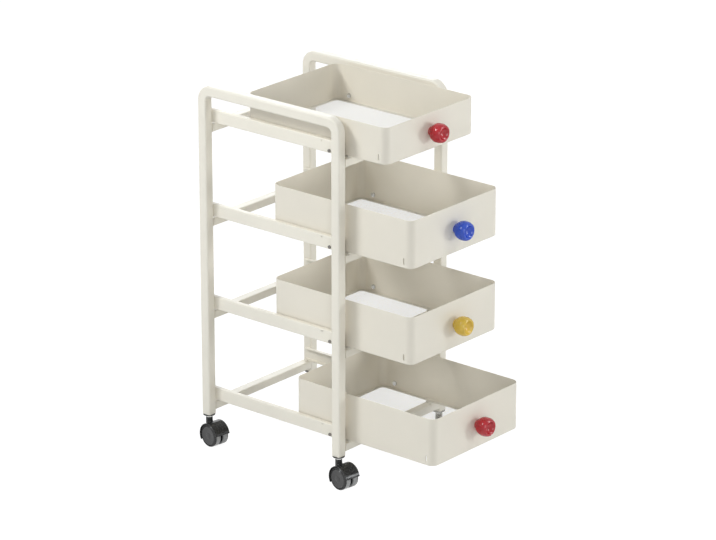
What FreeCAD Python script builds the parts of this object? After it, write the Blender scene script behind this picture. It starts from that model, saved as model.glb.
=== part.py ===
"""Rolling kitchen cart with four drawers: tube frame, rails, drawers, knobs and twin-wheel casters.

Lengths are in millimetres. +Z is up, the drawers open towards -Y and the origin lies on the floor,
under the centre of the frame's footprint. The drawers are stored as far out as the photo shows them.
"""
import FreeCAD
import Part
import Sketcher
import math
import os
import re

# Driving sizes: name, value, meaning
SIZES = [
    ("frame_width", 321.5, "across the outer faces of the legs"),
    ("frame_depth", 350.0, "front of the front legs to back of the back legs"),
    ("top_rise", 76.5, "lower edge of the top rails to the top of the side frames"),
    ("leg_end", 61.8, "floor to the lower end of the legs"),
    ("tube_side", 20.0, "side of the square tube"),
    ("tube_wall", 1.2, "wall of the tubes"),
    ("tube_round", 3.5, "outer corner radius of the square tube"),
    ("bend_radius", 20.0, "centre-line radius of the side frame's bends"),
    ("bar_height", 16.0, "height of the crossbars"),
    ("bar_round", 2.5, "outer corner radius of the crossbars"),
    ("bar_drop", 3.5, "rail's lower edge down to the crossbar's top"),
    ("level_pitch", 188.5, "rail to rail"),
    ("foot_length", 26.4, "lower end of the legs to the lower edge of the lowest rails"),
    ("rail_height", 25.5, "height of the rail channel"),
    ("runner_gap", 10.75, "inner face of a leg to the drawer's wall, which the rail fills"),
    ("rail_clear", 1.75, "rail's open edge to the drawer's wall"),
    ("rail_sheet", 1.5, "sheet of the rails"),
    ("rail_bend", 2.2, "outer radius of the rail's folds"),
    ("rail_inset", 10.0, "end of a rail to the frame's front or back plane"),
    ("hang_hole", 1.6, "radius of the small hole near the rail's upper edge"),
    ("hang_inset", 59.0, "small hole to the frame's front plane"),
    ("hang_drop", 4.0, "small hole below the rail's upper edge"),
    ("stop_inset", 39.5, "stop screw to the frame's front plane"),
    ("stop_screw_radius", 1.8, "shank of the stop screw"),
    ("stop_head_radius", 3.2, "head of the stop screw"),
    ("stop_head_height", 2.0, "height of the stop screw's head"),
    ("stop_bush_radius", 3.4, "outside of the stop bush"),
    ("drawer_depth", 340.0, "drawer's front to its back"),
    ("drawer_height", 94.5, "height of the three lower drawers"),
    ("top_drawer_height", 72.0, "height of the top drawer"),
    ("drawer_sheet", 1.2, "sheet of the drawer's walls"),
    ("drawer_round", 16.0, "outer radius of the drawer's upright corners"),
    ("drawer_drop", 1.0, "drawer's lower edge below the rail's lower edge"),
    ("floor_lip", 7.0, "turned-in lip that carries the drawer's floor"),
    ("floor_sheet", 1.6, "thickness of the mesh floor"),
    ("floor_border", 8.0, "plain border round the floor's openings"),
    ("floor_bar", 2.4, "bars between the floor's openings"),
    ("pull_1", 87.0, "how far the top drawer stands out"),
    ("pull_2", 148.0, "how far the second drawer stands out"),
    ("pull_3", 149.0, "how far the third drawer stands out"),
    ("pull_4", 203.5, "how far the lowest drawer stands out"),
    ("slit_inset", 16.5, "slit behind the drawer's front"),
    ("slit_width", 3.0, "width of the slit in the drawer's side"),
    ("slit_rise", 8.0, "slit's lower end above the drawer's lower edge"),
    ("slit_height", 12.0, "height of the slit"),
    ("roller_radius", 9.5, "radius of the drawer's rollers"),
    ("roller_clear", 1.35, "end cap of the roller stud to the rail's web"),
    ("roller_inset", 33.5, "roller's axis to the drawer's back"),
    ("stud_radius", 1.9, "shank of the roller stud"),
    ("stud_flange", 4.5, "radius of the stud's head, shoulder and end cap"),
    ("stud_head", 2.2, "height of the stud's head"),
    ("stud_shoulder", 1.3, "shoulder between the drawer's wall and the roller"),
    ("stud_cap", 0.9, "end cap outside the roller"),
    ("glide_width", 12.0, "glide pad along the crossbar"),
    ("glide_depth", 16.0, "glide pad across the crossbar"),
    ("ball_radius", 18.5, "radius of the knob's ball"),
    ("ball_reach", 18.0, "ball's centre to the drawer's front"),
    ("knob_neck", 8.0, "radius of the knob's neck"),
    ("dish_radius", 11.5, "radius of the knob's dished face"),
    ("dish_depth", 4.5, "depth of the knob's dished face"),
    ("knob_screw_radius", 1.75, "shank of the knob screw"),
    ("knob_screw_head", 4.2, "radius of the knob screw's head"),
    ("knob_screw_rise", 2.0, "height of the knob screw's head"),
    ("knob_screw_bite", 14.0, "depth of the screw hole in the knob"),
    ("wheel_radius", 22.5, "radius of the caster wheels"),
    ("wheel_width", 13.5, "width of one caster wheel"),
    ("tread_round", 3.0, "rounding of the wheel's outer edge"),
    ("rim_width", 4.0, "raised rim round the wheel's disc"),
    ("disc_recess", 0.5, "wheel's disc behind its rim"),
    ("cap_radius", 6.0, "hub cap on the wheel's disc"),
    ("hub_wall", 3.0, "wall that closes the wheel's bore"),
    ("caster_trail", 15.7, "axle to the swivel axis"),
    ("caster_turn", 8.0, "how far the casters are swivelled from straight ahead, in degrees"),
    ("hood_clear", 0.8, "wheel's tread to the hood"),
    ("hood_wall", 1.9, "wall of the hood"),
    ("hood_rim", 0.5, "hood's rim beyond the wheel's face"),
    ("hood_web", 6.0, "web of the hood between the wheels"),
    ("hood_front", 10.0, "angle of the hood's front edge above the axle"),
    ("hood_back", 31.0, "angle of the hood's back edge below the axle"),
    ("hood_hub", 7.0, "radius of the hood's hub round the axle"),
    ("neck_radius", 6.8, "radius of the hood's neck"),
    ("neck_gap", 3.9, "hood's neck to the lower end of the leg"),
    ("axle_radius", 3.0, "radius of the wheel axle"),
    ("stem_radius", 4.0, "radius of the caster stem"),
    ("stem_floor", 2.0, "stem's lower end above the wheel well"),
    ("stem_grip", 22.0, "stem's length in the leg"),
    ("collar_radius", 6.6, "radius of the stem's bright collar"),
    ("flange_radius", 12.0, "radius of the flange under the leg"),
    ("flange_sheet", 2.3, "thickness of the flange under the leg"),
    ("plug_height", 28.0, "height of the socket inside the leg"),
    ("running_gap", 0.05, "radial clearance of shafts"),
    ("seat_gap", 0.1, "clearance of pieces that fit into one another"),
    ("travel_gap", 0.3, "clearance of faces that slide or roll past one another"),
    ("wheel_gap", 0.5, "wheel to the hood's web"),
]
NAMES = {name for name, value, note in SIZES}
LEVELS = (1, 2, 3, 4)
BARS_ALONG = 5
BARS_ACROSS = 7
SIDES = (("left", -1), ("right", 1))
ENDS = (("front", -1), ("back", 1))

doc = FreeCAD.newDocument("kitchen_cart")
sheet = doc.addObject("Spreadsheet::Sheet", "Sizes")
for row, (name, value, note) in enumerate(SIZES, start=1):
    sheet.set(f"A{row}", name)
    sheet.set(f"B{row}", str(value))
    sheet.setAlias(f"B{row}", name)
    sheet.set(f"C{row}", note)
doc.recompute()


def tied(expression):
    """The expression with every size name written as a cell of the sheet."""
    return re.sub(r"[a-z_][a-z0-9_]*", lambda m: "Sizes." + m.group() if m.group() in NAMES else m.group(),
                  f"({expression})")


def value_of(expression):
    """The number that an expression of size names gives now."""
    return float(sheet.evalExpression(tied(expression)))


def bind(item, prop, expression):
    """Tie one property to the sheet."""
    item.setExpression(prop, tied(expression))


def new_body(label):
    """An empty body under its label."""
    body = doc.addObject("PartDesign::Body", label)
    body.Label = label
    return body


def place(item, x="0", y="0", z="0", axis=(0, 0, 1), angle=0.0):
    """Turn an object about an axis and set it at a point tied to the sheet."""
    item.Placement = FreeCAD.Placement(FreeCAD.Vector(0, 0, 0), FreeCAD.Rotation(FreeCAD.Vector(*axis), angle))
    for name, expression in (("x", x), ("y", y), ("z", z)):
        bind(item, "Placement.Base." + name, expression)


def new_sketch(body, plane, lift="0"):
    """A sketch on one of the body's own planes, lifted along the plane's normal."""
    sketch = body.newObject("Sketcher::SketchObject", body.Name + "_sketch")
    base = [face for face in body.Origin.OriginFeatures if face.Role == plane][0]
    sketch.AttachmentSupport = (base, [""])
    sketch.MapMode = "FlatFace"
    bind(sketch, "AttachmentOffset.Base.z", lift)
    return sketch


def pin_point(sketch, geometry, end, x, y):
    """Hold one end point of a curve at (x, y) by constraints tied to the sheet."""
    for kind, expression, other_axis in (("DistanceX", x, -2), ("DistanceY", y, -1)):
        number = value_of(expression)
        if abs(number) < 1e-9:
            sketch.addConstraint(Sketcher.Constraint("PointOnObject", geometry, end, other_axis))
            continue
        index = sketch.addConstraint(Sketcher.Constraint(kind, -1, 1, geometry, end, number))
        bind(sketch, f"Constraints[{index}]", expression)


def draw(sketch, corners, closed=True):
    """Draw lines and arcs through corners (x, y) or (x, y, radius, turn).

    A corner with a radius starts an arc of under half a circle to the next corner; turn is 1 for an
    arc that runs anticlockwise and -1 for one that runs clockwise.
    """
    points = [FreeCAD.Vector(value_of(c[0]), value_of(c[1]), 0) for c in corners]
    count = len(corners) if closed else len(corners) - 1
    ends = []
    for i in range(count):
        start = points[i]
        stop = points[(i + 1) % len(points)]
        if len(corners[i]) == 2:
            ends.append((sketch.addGeometry(Part.LineSegment(start, stop), False), 1, 2))
            continue
        radius = value_of(corners[i][2])
        turn = corners[i][3]
        chord = stop - start
        reach = math.sqrt(max(radius ** 2 - chord.Length ** 2 / 4, 0.0))
        side = FreeCAD.Vector(-chord.y, chord.x, 0).normalize() * (reach * turn)
        centre = (start + stop) * 0.5 + side
        first, last = (start, stop) if turn > 0 else (stop, start)
        angles = [math.atan2(p.y - centre.y, p.x - centre.x) for p in (first, last)]
        circle = Part.Circle(centre, FreeCAD.Vector(0, 0, 1), radius)
        index = sketch.addGeometry(Part.ArcOfCircle(circle, angles[0], angles[1]), False)
        ends.append((index, 1, 2) if turn > 0 else (index, 2, 1))
    for i, (index, start, stop) in enumerate(ends):
        if i + 1 < len(ends) or closed:
            other, other_start, other_stop = ends[(i + 1) % len(ends)]
            sketch.addConstraint(Sketcher.Constraint("Coincident", index, stop, other, other_start))
        pin_point(sketch, index, start, corners[i][0], corners[i][1])
        if len(corners[i]) > 2:
            held = sketch.addConstraint(Sketcher.Constraint("Radius", index, value_of(corners[i][2])))
            bind(sketch, f"Constraints[{held}]", corners[i][2])
    if not closed:
        pin_point(sketch, ends[-1][0], ends[-1][2], corners[-1][0], corners[-1][1])


def draw_circle(sketch, x, y, radius):
    """Draw a circle tied to the sheet."""
    centre = FreeCAD.Vector(value_of(x), value_of(y), 0)
    number = value_of(radius)
    index = sketch.addGeometry(Part.Circle(centre, FreeCAD.Vector(0, 0, 1), number), False)
    held = sketch.addConstraint(Sketcher.Constraint("Radius", index, number))
    bind(sketch, f"Constraints[{held}]", radius)
    pin_point(sketch, index, 3, x, y)


def draw_rounded(sketch, x, y, width, height, radius):
    """Draw a rectangle with rounded corners round the point (x, y)."""
    left, right = f"{x} - ({width}) / 2", f"{x} + ({width}) / 2"
    low, high = f"{y} - ({height}) / 2", f"{y} + ({height}) / 2"
    draw(sketch, [
        (f"{left} + {radius}", low),
        (f"{right} - ({radius})", low, radius, 1),
        (right, f"{low} + {radius}"),
        (right, f"{high} - ({radius})", radius, 1),
        (f"{right} - ({radius})", high),
        (f"{left} + {radius}", high, radius, 1),
        (left, f"{high} - ({radius})"),
        (left, f"{low} + {radius}", radius, 1),
    ])


def draw_box(sketch, x, y, width, height):
    """Draw a rectangle round the point (x, y)."""
    left, right = f"{x} - ({width}) / 2", f"{x} + ({width}) / 2"
    low, high = f"{y} - ({height}) / 2", f"{y} + ({height}) / 2"
    draw(sketch, [(left, low), (right, low), (right, high), (left, high)])


def pad(body, sketch, length):
    """Pad a sketch along its normal."""
    feature = body.newObject("PartDesign::Pad", body.Name + "_pad")
    feature.Profile = sketch
    bind(feature, "Length", length)
    sketch.Visibility = False
    return feature


def pocket(body, sketch, length=None, forward=True):
    """Cut a sketch out along its normal, or against it; with no length right through."""
    feature = body.newObject("PartDesign::Pocket", body.Name + "_pocket")
    feature.Profile = sketch
    feature.Reversed = forward
    if length is None:
        feature.Type = "ThroughAll"
    else:
        bind(feature, "Length", length)
    return feature


def repeat(body, sketch, feature, axis, length, count):
    """Repeat a pad count times along one of its sketch's axes, over the given length."""
    pattern = body.newObject("PartDesign::LinearPattern", body.Name + "_pattern")
    pattern.Originals = [feature]
    pattern.Direction = (sketch, [axis])
    bind(pattern, "Length", length)
    pattern.Occurrences = count
    body.Tip = pattern


def turn_piece(label, profile, across=0):
    """A body turned about its own Z from a profile of (radius, height) corners.

    With across at 1 or -1 it is turned about its own X, and the heights run along that axis or against it.
    """
    body = new_body(label)
    sketch = new_sketch(body, "XZ_Plane")
    if across:
        turned = []
        for radius, height, *arc in profile:
            if arc:
                arc[1] *= -across
            turned.append((f"{across} * ({height})", radius, *arc))
        profile = turned
    draw(sketch, profile)
    feature = body.newObject("PartDesign::Revolution", label + "_turning")
    feature.Profile = sketch
    feature.ReferenceAxis = (sketch, ["H_Axis" if across else "V_Axis"])
    feature.Angle = 360
    return body


def group(label, members):
    """One node of several separate solids."""
    node = doc.addObject("Part::Compound", label)
    node.Label = label
    node.Links = members
    return node


def level_z(level):
    """Lower edge of the rails of a level; level 1 is the top one."""
    return f"leg_end + foot_length + {LEVELS[-1] - level} * level_pitch"


# Lines that several pieces share
leg_x = "(frame_width / 2 - tube_side / 2)"
leg_y = "(frame_depth / 2 - tube_side / 2)"
inner_x = "(frame_width / 2 - tube_side)"
frame_top = f"(leg_end + foot_length + {len(LEVELS) - 1} * level_pitch + top_rise)"
rail_width = "(runner_gap - rail_clear)"
roller_width = "(runner_gap - rail_sheet - roller_clear - stud_cap - 2 * running_gap - stud_shoulder)"
stop_rise = "(rail_sheet + travel_gap + stop_bush_radius + seat_gap)"
web_x = "(frame_width / 2 - tube_side - rail_sheet)"
drawer_x = f"({inner_x} - runner_gap)"
drawer_width = f"(2 * {drawer_x})"
front_y = "(frame_depth / 2)"
stop_y = "(stop_inset - frame_depth / 2)"
roller_rise = "(rail_sheet + travel_gap + roller_radius + drawer_drop)"
hood_half = "(hood_web / 2 + wheel_gap + wheel_width + hood_rim)"
well_radius = "(wheel_radius + hood_clear)"
hood_radius = f"({well_radius} + hood_wall)"
stem_edge = "(caster_trail - stem_radius - running_gap)"
stem_low = f"(wheel_radius + sqrt({well_radius}^2 - {stem_edge}^2) + stem_floor)"
neck_top = "(leg_end - neck_gap)"
nodes = []


def side_frame(label, side):
    """Square tube bent into an upside-down U, hollow and open at the leg ends."""
    body = new_body(label)
    place(body, f"{side} * {leg_x}", "0", "0")
    spine = new_sketch(body, "YZ_Plane")
    middle = f"({frame_top} - tube_side / 2)"
    draw(spine, [
        (f"-{leg_y}", "leg_end"),
        (f"-{leg_y}", f"{middle} - bend_radius", "bend_radius", -1),
        (f"bend_radius - {leg_y}", middle),
        (f"{leg_y} - bend_radius", middle, "bend_radius", -1),
        (leg_y, f"{middle} - bend_radius"),
        (leg_y, "leg_end"),
    ], closed=False)
    for kind, shrink in (("AdditivePipe", "0"), ("SubtractivePipe", "tube_wall")):
        section = new_sketch(body, "XY_Plane", "leg_end")
        width = f"(tube_side - 2 * {shrink})"
        draw_rounded(section, "0", f"-{leg_y}", width, width, f"(tube_round - {shrink})")
        doc.recompute()
        pipe = body.newObject("PartDesign::" + kind, label + "_" + kind)
        pipe.Profile = section
        pipe.Spine = (spine, [f"Edge{i + 1}" for i in range(5)])
        doc.recompute()
    return body


def crossbar(label, end, level):
    """Rectangular tube between the inner faces of two legs."""
    body = new_body(label)
    place(body, f"-{inner_x}", f"{end} * {leg_y}", f"{level_z(level)} - bar_drop - bar_height / 2")
    section = new_sketch(body, "YZ_Plane")
    draw_rounded(section, "0", "0", "tube_side", "bar_height", "bar_round")
    draw_rounded(section, "0", "0", "(tube_side - 2 * tube_wall)", "(bar_height - 2 * tube_wall)",
                 "(bar_round - tube_wall)")
    pad(body, section, f"2 * {inner_x}")
    return body


def rail(label, side, level):
    """Folded channel, open towards the drawer, with the stop screw's hole and a small hanging hole."""
    body = new_body(label)
    place(body, f"{side} * {inner_x}", "0", level_z(level))
    section = new_sketch(body, "XZ_Plane", "rail_inset - frame_depth / 2")
    inward = -side
    inner_bend = "(rail_bend - rail_sheet)"
    draw(section, [
        (f"{inward} * {rail_width}", "0"),
        (f"{inward} * rail_bend", "0", "rail_bend", -inward),
        ("0", "rail_bend"),
        ("0", "rail_height - rail_bend", "rail_bend", -inward),
        (f"{inward} * rail_bend", "rail_height"),
        (f"{inward} * {rail_width}", "rail_height"),
        (f"{inward} * {rail_width}", "rail_height - rail_sheet"),
        (f"{inward} * rail_bend", "rail_height - rail_sheet", inner_bend, inward),
        (f"{inward} * rail_sheet", "rail_height - rail_bend"),
        (f"{inward} * rail_sheet", "rail_bend", inner_bend, inward),
        (f"{inward} * rail_bend", "rail_sheet"),
        (f"{inward} * {rail_width}", "rail_sheet"),
    ])
    pad(body, section, "frame_depth - 2 * rail_inset")
    holes = new_sketch(body, "YZ_Plane")
    draw_circle(holes, stop_y, stop_rise, "stop_screw_radius + seat_gap")
    draw_circle(holes, "hang_inset - frame_depth / 2", "rail_height - hang_drop", "hang_hole")
    pocket(body, holes, "2 * rail_sheet", forward=inward > 0)
    return body


def drawer_shell(label, level, height, front, low):
    """Sheet walls with a turned-in lip for the floor, holes for the studs and the knob, and side slits."""
    body = new_body(label)
    place(body, "0", front, low)
    walls = new_sketch(body, "XY_Plane")
    draw_rounded(walls, "0", "drawer_depth / 2", drawer_width, "drawer_depth", "drawer_round")
    pad(body, walls, height)
    inside = new_sketch(body, "XY_Plane", "drawer_sheet")
    draw_rounded(inside, "0", "drawer_depth / 2", f"({drawer_width} - 2 * drawer_sheet)",
                 "(drawer_depth - 2 * drawer_sheet)", "(drawer_round - drawer_sheet)")
    pocket(body, inside)
    opening = new_sketch(body, "XY_Plane")
    draw_rounded(opening, "0", "drawer_depth / 2", f"({drawer_width} - 2 * drawer_sheet - 2 * floor_lip)",
                 "(drawer_depth - 2 * drawer_sheet - 2 * floor_lip)", "drawer_sheet")
    pocket(body, opening)
    sides = new_sketch(body, "YZ_Plane", f"-{drawer_width}")
    draw_circle(sides, "drawer_depth - roller_inset", roller_rise, "stud_radius + running_gap")
    draw(sides, [
        ("slit_inset", "slit_rise"),
        ("slit_inset + slit_width", "slit_rise"),
        ("slit_inset + slit_width", "slit_rise + slit_height"),
        ("slit_inset", "slit_rise + slit_height"),
    ])
    pocket(body, sides)
    screw_hole = new_sketch(body, "XZ_Plane")
    draw_circle(screw_hole, "0", f"({height}) / 2", "knob_screw_radius + seat_gap")
    pocket(body, screw_hole, "2 * drawer_sheet", forward=False)
    return body


def drawer_floor(label, front, low):
    """Thin floor on the shell's lip: a border with a plain grid of bars that stands for the fine mesh."""
    body = new_body(label)
    place(body, "0", front, f"{low} + drawer_sheet")
    width = f"({drawer_width} - 2 * drawer_sheet - 2 * travel_gap)"
    depth = "(drawer_depth - 2 * drawer_sheet - 2 * travel_gap)"
    open_width = f"({width} - 2 * floor_border)"
    open_depth = f"({depth} - 2 * floor_border)"
    plate = new_sketch(body, "XY_Plane")
    draw_rounded(plate, "0", "drawer_depth / 2", width, depth, "(drawer_round - drawer_sheet)")
    draw_box(plate, "0", "drawer_depth / 2", open_width, open_depth)
    pad(body, plate, "floor_sheet")
    along = new_sketch(body, "XY_Plane")
    draw_box(along, f"{open_width} * (1 / {BARS_ALONG + 1} - 0.5)", "drawer_depth / 2",
             "floor_bar", f"({open_depth} + floor_border)")
    repeat(body, along, pad(body, along, "floor_sheet"), "H_Axis",
           f"{open_width} * {BARS_ALONG - 1} / {BARS_ALONG + 1}", BARS_ALONG)
    across = new_sketch(body, "XY_Plane")
    draw_box(across, "0", f"drawer_depth / 2 + {open_depth} * (1 / {BARS_ACROSS + 1} - 0.5)",
             f"({open_width} + floor_border)", "floor_bar")
    repeat(body, across, pad(body, across, "floor_sheet"), "V_Axis",
           f"{open_depth} * {BARS_ACROSS - 1} / {BARS_ACROSS + 1}", BARS_ACROSS)
    return body


def knob(label, height, front, low):
    """Ball knob with a neck, a dished face and a blind screw hole."""
    face = "(ball_reach + sqrt(ball_radius^2 - dish_radius^2))"
    hole = "(knob_screw_radius + seat_gap)"
    body = turn_piece(label, [
        (hole, "0"),
        ("knob_neck", "0"),
        ("knob_neck", "ball_reach - sqrt(ball_radius^2 - knob_neck^2)", "ball_radius", 1),
        ("dish_radius", face, "(dish_radius^2 + dish_depth^2) / (2 * dish_depth)", -1),
        ("0", f"{face} - dish_depth"),
        ("0", "knob_screw_bite"),
        (hole, "knob_screw_bite"),
    ])
    place(body, "0", front, f"{low} + ({height}) / 2", (1, 0, 0), 90)
    return body


def knob_screw(label, height, front, low):
    """Screw from inside the drawer's front into the knob."""
    body = turn_piece(label, [
        ("0", "-drawer_sheet - knob_screw_rise"),
        ("knob_screw_head", "-drawer_sheet - knob_screw_rise"),
        ("knob_screw_head", "-drawer_sheet"),
        ("knob_screw_radius", "-drawer_sheet"),
        ("knob_screw_radius", "knob_screw_bite - travel_gap"),
        ("0", "knob_screw_bite - travel_gap"),
    ])
    place(body, "0", front, f"{low} + ({height}) / 2", (1, 0, 0), 90)
    return body


def roller_stud(label, side, front, low):
    """Headed stud through the drawer's wall: shoulder, journal for the roller and end cap."""
    roller_start = "(drawer_sheet + stud_shoulder)"
    roller_end = f"({roller_start} + {roller_width} + 2 * running_gap)"
    body = turn_piece(label, [
        ("0", "-stud_head"),
        ("stud_flange", "-stud_head"),
        ("stud_flange", "0"),
        ("stud_radius", "0"),
        ("stud_radius", "drawer_sheet"),
        ("stud_flange", "drawer_sheet"),
        ("stud_flange", roller_start),
        ("stud_radius", roller_start),
        ("stud_radius", roller_end),
        ("stud_flange", roller_end),
        ("stud_flange", f"{roller_end} + stud_cap"),
        ("0", f"{roller_end} + stud_cap"),
    ])
    place(body, f"{side} * ({drawer_x} - drawer_sheet)", f"{front} + drawer_depth - roller_inset",
          f"{low} + {roller_rise}", (0, 1, 0), 90 * side)
    return body


def roller(label, side, front, low):
    """Nylon roller with softened edges."""
    soft = "drawer_sheet / 2"
    bore = "(stud_radius + running_gap)"
    body = turn_piece(label, [
        (bore, "0"),
        (f"roller_radius - {soft}", "0"),
        ("roller_radius", soft),
        ("roller_radius", f"{roller_width} - {soft}"),
        (f"roller_radius - {soft}", roller_width),
        (bore, roller_width),
    ])
    place(body, f"{side} * ({drawer_x} + stud_shoulder + running_gap)",
          f"{front} + drawer_depth - roller_inset", f"{low} + {roller_rise}", (0, 1, 0), 90 * side)
    return body


def stop_screw(label, side, level):
    """Dark screw through the rail's web."""
    body = turn_piece(label, [
        ("0", "-stop_head_height"),
        ("stop_head_radius", "-stop_head_height"),
        ("stop_head_radius", "0"),
        ("stop_screw_radius", "0"),
        ("stop_screw_radius", rail_width),
        ("0", rail_width),
    ])
    place(body, f"{side} * {inner_x}", stop_y, f"{level_z(level)} + {stop_rise}", (0, 1, 0), -90 * side)
    return body


def stop_bush(label, side, level):
    """Bush on the stop screw, inside the rail, that ends the drawer's travel."""
    bore = "(stop_screw_radius + seat_gap)"
    body = turn_piece(label, [
        (bore, "0"),
        ("stop_bush_radius", "0"),
        ("stop_bush_radius", f"{rail_width} - rail_sheet"),
        (bore, f"{rail_width} - rail_sheet"),
    ])
    place(body, f"{side} * {web_x}", stop_y, f"{level_z(level)} + {stop_rise}", (0, 1, 0), -90 * side)
    return body


def glide_pad(label, side, level):
    """Nylon pad on the front crossbar, right under the drawer's lower edge."""
    body = new_body(label)
    place(body, f"{side} * ({drawer_x} - glide_width / 2)", f"-{leg_y}", f"{level_z(level)} - bar_drop")
    plate = new_sketch(body, "XY_Plane")
    draw_rounded(plate, "0", "0", "glide_width", "glide_depth", "bar_round")
    pad(body, plate, "bar_drop - drawer_drop - travel_gap")
    return body


def leg_socket(label, side, end):
    """Plug in the leg's end with a round flange below and the stem's bore."""
    body = new_body(label)
    place(body, f"{side} * {leg_x}", f"{end} * {leg_y}", "leg_end")
    flange = new_sketch(body, "XY_Plane", "-flange_sheet")
    draw_circle(flange, "0", "0", "flange_radius")
    pad(body, flange, "flange_sheet")
    plug = new_sketch(body, "XY_Plane")
    side_length = "(tube_side - 2 * tube_wall - 2 * seat_gap)"
    draw_rounded(plug, "0", "0", side_length, side_length, "(tube_round - tube_wall)")
    pad(body, plug, "plug_height")
    bore = new_sketch(body, "XY_Plane", "-flange_sheet")
    draw_circle(bore, "0", "0", "stem_radius + seat_gap")
    pocket(body, bore, "flange_sheet + stem_grip + seat_gap")
    return body


def caster_stem(label, side, end):
    """Steel stem from the hood's neck up into the socket, with a bright collar between them."""
    collar_low = f"({neck_top} + seat_gap)"
    collar_high = "(leg_end - flange_sheet)"
    body = turn_piece(label, [
        ("0", stem_low),
        ("stem_radius", stem_low),
        ("stem_radius", collar_low),
        ("collar_radius", collar_low),
        ("collar_radius", collar_high),
        ("stem_radius", collar_high),
        ("stem_radius", "leg_end + stem_grip"),
        ("0", "leg_end + stem_grip"),
    ])
    place(body, f"{side} * {leg_x}", f"{end} * {leg_y}", "0")
    return body


def place_on_caster(item, side, end, out="0"):
    """Set a piece on the wheels' axle, out along it from the middle, and swivel it with its caster about the stem."""
    turn = "caster_turn * 1deg"
    place(item, f"{side} * {leg_x} - caster_trail * sin({turn}) + ({out}) * cos({turn})",
          f"{end} * {leg_y} - caster_trail * cos({turn}) - ({out}) * sin({turn})", "wheel_radius",
          (0, 0, -1), value_of("caster_turn"))
    bind(item, "Placement.Rotation.Angle", turn)


def caster_hood(label, side, end):
    """Hood over both wheels: arched roof, web between the wheels, hub for the axle and neck for the stem."""
    body = new_body(label)
    place_on_caster(body, side, end)
    roof = new_sketch(body, "YZ_Plane", f"-{hood_half}")
    front = (f"-{hood_radius} * cos(hood_front * 1deg)", f"{hood_radius} * sin(hood_front * 1deg)")
    back = (f"{hood_radius} * cos(hood_back * 1deg)", f"-{hood_radius} * sin(hood_back * 1deg)")
    draw(roof, [
        front + (hood_radius, -1),
        ("0", hood_radius, hood_radius, -1),
        back,
    ])
    pad(body, roof, f"2 * {hood_half}")
    hub = new_sketch(body, "YZ_Plane", "-hood_web / 2")
    draw_circle(hub, "0", "0", "hood_hub")
    pad(body, hub, "hood_web")
    neck = new_sketch(body, "XY_Plane")
    draw_circle(neck, "0", "caster_trail", "neck_radius")
    pad(body, neck, f"{neck_top} - wheel_radius")
    for side_sign in (-1, 1):
        well = new_sketch(body, "YZ_Plane", f"{side_sign} * hood_web / 2")
        draw_circle(well, "0", "0", well_radius)
        pocket(body, well, forward=side_sign > 0)
    axle_hole = new_sketch(body, "YZ_Plane", f"-{hood_half}")
    draw_circle(axle_hole, "0", "0", "axle_radius + running_gap")
    pocket(body, axle_hole)
    stem_hole = new_sketch(body, "XY_Plane", f"{stem_low} - wheel_radius - running_gap")
    draw_circle(stem_hole, "0", "caster_trail", "stem_radius + running_gap")
    pocket(body, stem_hole)
    return body


def wheel_axle(label, side, end):
    """Steel pin through the hood's web into both wheels."""
    reach = "(hood_web / 2 + wheel_gap + wheel_width - hub_wall - wheel_gap)"
    body = turn_piece(label, [
        ("0", f"-{reach}"),
        ("axle_radius", f"-{reach}"),
        ("axle_radius", reach),
        ("0", reach),
    ], across=1)
    place_on_caster(body, side, end)
    return body


def caster_wheel(label, side, end, half):
    """Wheel with a rounded tread, a raised rim, a recessed disc, a hub cap and a blind bore."""
    bore = "(axle_radius + running_gap)"
    small = "tread_round / 2"
    disc = "(wheel_width - disc_recess)"
    rim = "(wheel_radius - tread_round - rim_width / 2)"
    body = turn_piece(label, [
        (bore, "0"),
        (f"wheel_radius - {small}", "0", small, 1),
        ("wheel_radius", small),
        ("wheel_radius", "wheel_width - tread_round", "tread_round", 1),
        ("wheel_radius - tread_round", "wheel_width"),
        (rim, "wheel_width"),
        (f"{rim} - disc_recess", disc),
        ("cap_radius", disc),
        ("cap_radius - disc_recess / 2", "wheel_width - disc_recess / 2"),
        ("0", "wheel_width - disc_recess / 2"),
        ("0", "wheel_width - hub_wall"),
        (bore, "wheel_width - hub_wall"),
    ], across=half)
    place_on_caster(body, side, end, f"{half} * (hood_web / 2 + wheel_gap)")
    return body


# Frame
for side_name, side in SIDES:
    nodes.append(side_frame(side_name + "_side_frame", side))
for end_name, end in ENDS:
    for level in LEVELS:
        nodes.append(crossbar(f"{end_name}_crossbar_{level}", end, level))
for side_name, side in SIDES:
    for level in LEVELS:
        nodes.append(rail(f"{side_name}_rail_{level}", side, level))
pairs = [(name, side, level) for name, side in SIDES for level in LEVELS]
nodes.append(group("glide_pads", [glide_pad(f"{n}_glide_{l}", s, l) for n, s, l in pairs]))
nodes.append(group("stop_screws", [stop_screw(f"{n}_stop_screw_{l}", s, l) for n, s, l in pairs]))
nodes.append(group("stop_bushes", [stop_bush(f"{n}_stop_bush_{l}", s, l) for n, s, l in pairs]))

# Drawers
for level in LEVELS:
    height = "top_drawer_height" if level == 1 else "drawer_height"
    front = f"-{front_y} - pull_{level}"
    low = f"{level_z(level)} - drawer_drop"
    stem = f"drawer_{level}_"
    nodes.append(drawer_shell(stem + "shell", level, height, front, low))
    nodes.append(drawer_floor(stem + "floor", front, low))
    nodes.append(knob(stem + "knob", height, front, low))
    screws = [knob_screw(stem + "knob_screw", height, front, low)]
    screws += [roller_stud(f"{stem}{name}_stud", side, front, low) for name, side in SIDES]
    nodes.append(group(stem + "screws", screws))
    rollers = [roller(f"{stem}{name}_roller", side, front, low) for name, side in SIDES]
    nodes.append(group(stem + "rollers", rollers))

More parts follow.
